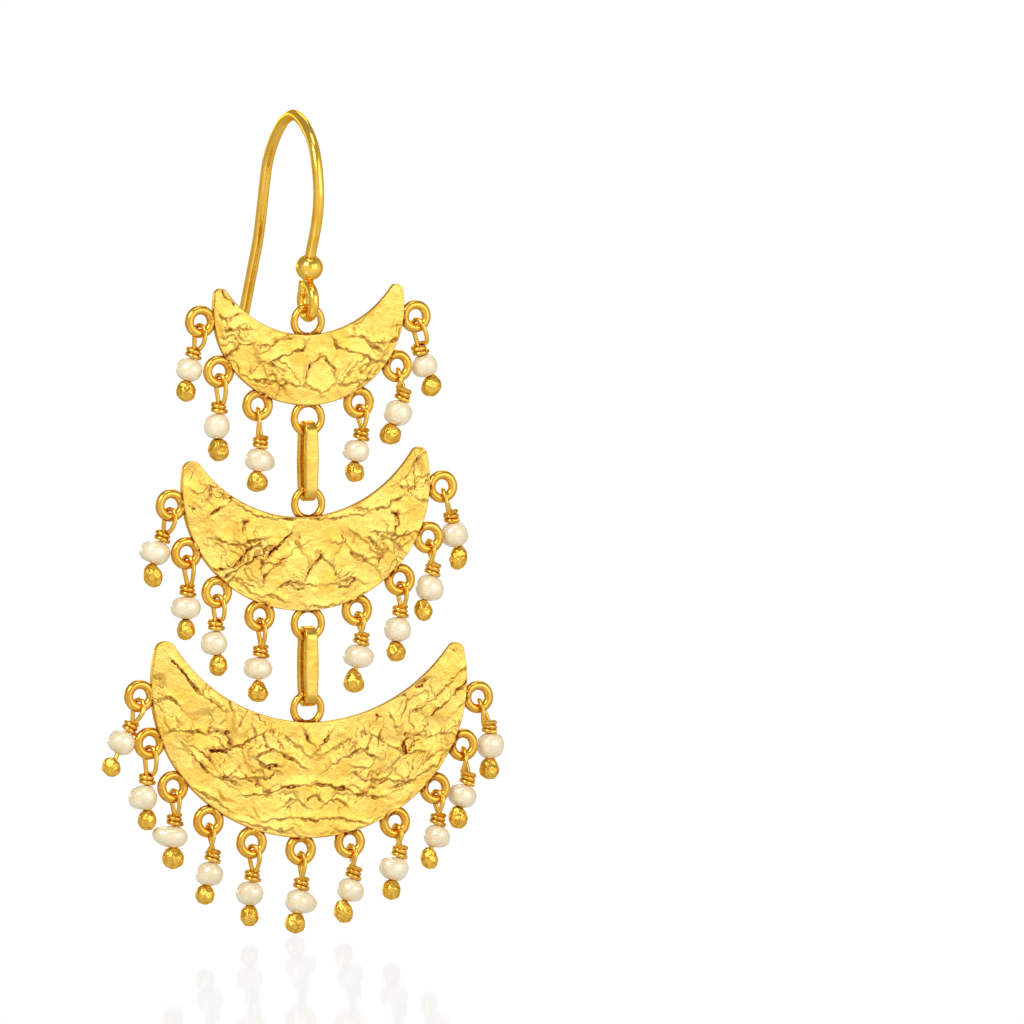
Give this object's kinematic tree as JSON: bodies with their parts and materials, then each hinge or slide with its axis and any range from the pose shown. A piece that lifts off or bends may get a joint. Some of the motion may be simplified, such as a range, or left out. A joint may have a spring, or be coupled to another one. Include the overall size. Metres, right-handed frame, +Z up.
{
  "type": "chandelier earring",
  "caption": "Drop earring: crescent plates in tiers on strap links below an ear hook, edged with pearl drops on wrapped pins.",
  "frame": {"origin": "underside of the ear hook's crown, where the ear carries it", "axes": "+Z up, the crescents stand in the XZ plane and face -Y, the hook's free leg is behind at +Y"},
  "size_m": [0.0393, 0.0201, 0.075],
  "materials": {
    "bright_gold": "polished gold plate",
    "textured_gold": "gold plate on crumpled, darkened relief",
    "deep_gold": "polished deep gold plate",
    "pearl": "cream pearl lustre"
  },
  "bodies": {
    "hook": {"ear_hook": "bright_gold", "hook_bead": "bright_gold"},
    "small_tier": {"crescent_small": "textured_gold", "pin_small_1": "deep_gold", "pearl_small_1": "pearl", "pin_small_2": "deep_gold", "pearl_small_2": "pearl", "pin_small_3": "deep_gold", "pearl_small_3": "pearl", "pin_small_4": "deep_gold", "pearl_small_4": "pearl", "pin_small_5": "deep_gold", "pearl_small_5": "pearl", "pin_small_6": "deep_gold", "pearl_small_6": "pearl"},
    "upper_link": {"link_upper": "bright_gold"},
    "medium_tier": {"crescent_medium": "textured_gold", "pin_medium_1": "deep_gold", "pearl_medium_1": "pearl", "pin_medium_2": "deep_gold", "pearl_medium_2": "pearl", "pin_medium_3": "deep_gold", "pearl_medium_3": "pearl", "pin_medium_4": "deep_gold", "pearl_medium_4": "pearl", "pin_medium_5": "deep_gold", "pearl_medium_5": "pearl", "pin_medium_6": "deep_gold", "pearl_medium_6": "pearl", "pin_medium_7": "deep_gold", "pearl_medium_7": "pearl", "pin_medium_8": "deep_gold", "pearl_medium_8": "pearl"},
    "lower_link": {"link_lower": "bright_gold"},
    "large_tier": {"crescent_large": "textured_gold", "pin_large_1": "deep_gold", "pearl_large_1": "pearl", "pin_large_2": "deep_gold", "pearl_large_2": "pearl", "pin_large_3": "deep_gold", "pearl_large_3": "pearl", "pin_large_4": "deep_gold", "pearl_large_4": "pearl", "pin_large_5": "deep_gold", "pearl_large_5": "pearl", "pin_large_6": "deep_gold", "pearl_large_6": "pearl", "pin_large_7": "deep_gold", "pearl_large_7": "pearl", "pin_large_8": "deep_gold", "pearl_large_8": "pearl", "pin_large_9": "deep_gold", "pearl_large_9": "pearl", "pin_large_10": "deep_gold", "pearl_large_10": "pearl", "pin_large_11": "deep_gold", "pearl_large_11": "pearl"}
  },
  "joints": [
    {"name": "small_tier_swing", "type": "hinge", "parent": "hook", "child": "small_tier", "pos_m": [0, -0.0034, -0.01678], "axis": [1, 0, 0], "range_deg": [-30, 30]},
    {"name": "upper_link_swing", "type": "hinge", "parent": "small_tier", "child": "upper_link", "pos_m": [0, -0.00334, -0.02833], "axis": [1, 0, 0], "range_deg": [-30, 30]},
    {"name": "medium_tier_swing", "type": "hinge", "parent": "upper_link", "child": "medium_tier", "pos_m": [0, -0.00334, -0.03341], "axis": [1, 0, 0], "range_deg": [-30, 30]},
    {"name": "lower_link_swing", "type": "hinge", "parent": "medium_tier", "child": "lower_link", "pos_m": [0, -0.00334, -0.04706], "axis": [1, 0, 0], "range_deg": [-30, 30]},
    {"name": "large_tier_swing", "type": "hinge", "parent": "lower_link", "child": "large_tier", "pos_m": [0, -0.00334, -0.05214], "axis": [1, 0, 0], "range_deg": [-30, 30]}
  ]
}
